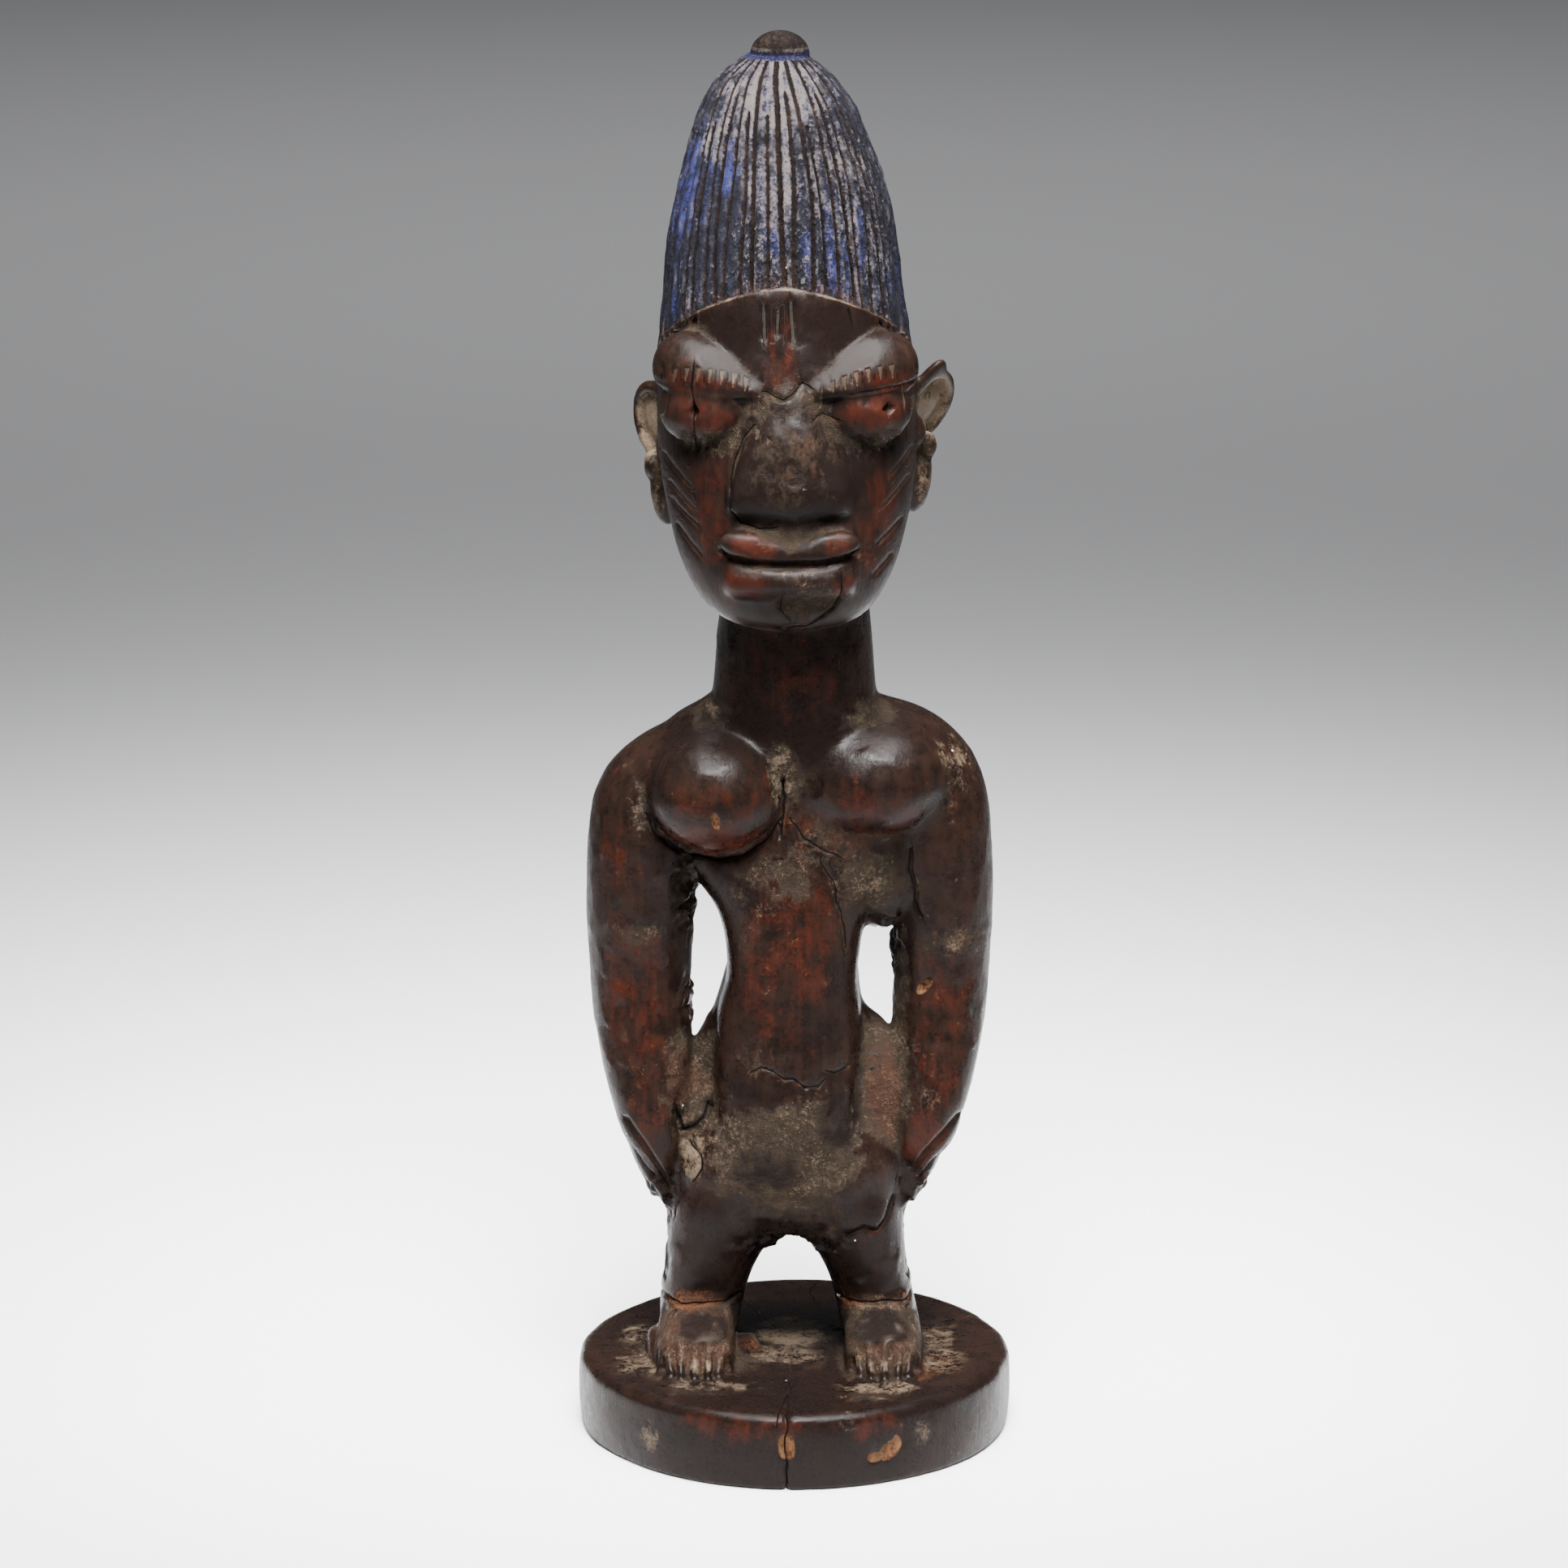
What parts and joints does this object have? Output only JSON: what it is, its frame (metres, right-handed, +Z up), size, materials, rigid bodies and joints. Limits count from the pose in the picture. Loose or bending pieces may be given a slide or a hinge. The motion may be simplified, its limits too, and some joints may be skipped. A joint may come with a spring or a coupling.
{
  "type": "carved twin figure",
  "caption": "Carved wooden standing figure with a tall fluted coiffure and hands on its hips, on a low round plinth cut from the same block.",
  "frame": {"origin": "middle of the plinth's underside", "axes": "+Z up the figure, -Y the way it faces, +X to the viewer's right"},
  "size_m": [0.0872, 0.0874, 0.28],
  "materials": {
    "carved_wood": "dark handled wood, polished on the high places, matte crust in the hollows, blue pigment on the coiffure"
  },
  "bodies": {
    "root": {"figure": "carved_wood"}
  },
  "joints": []
}
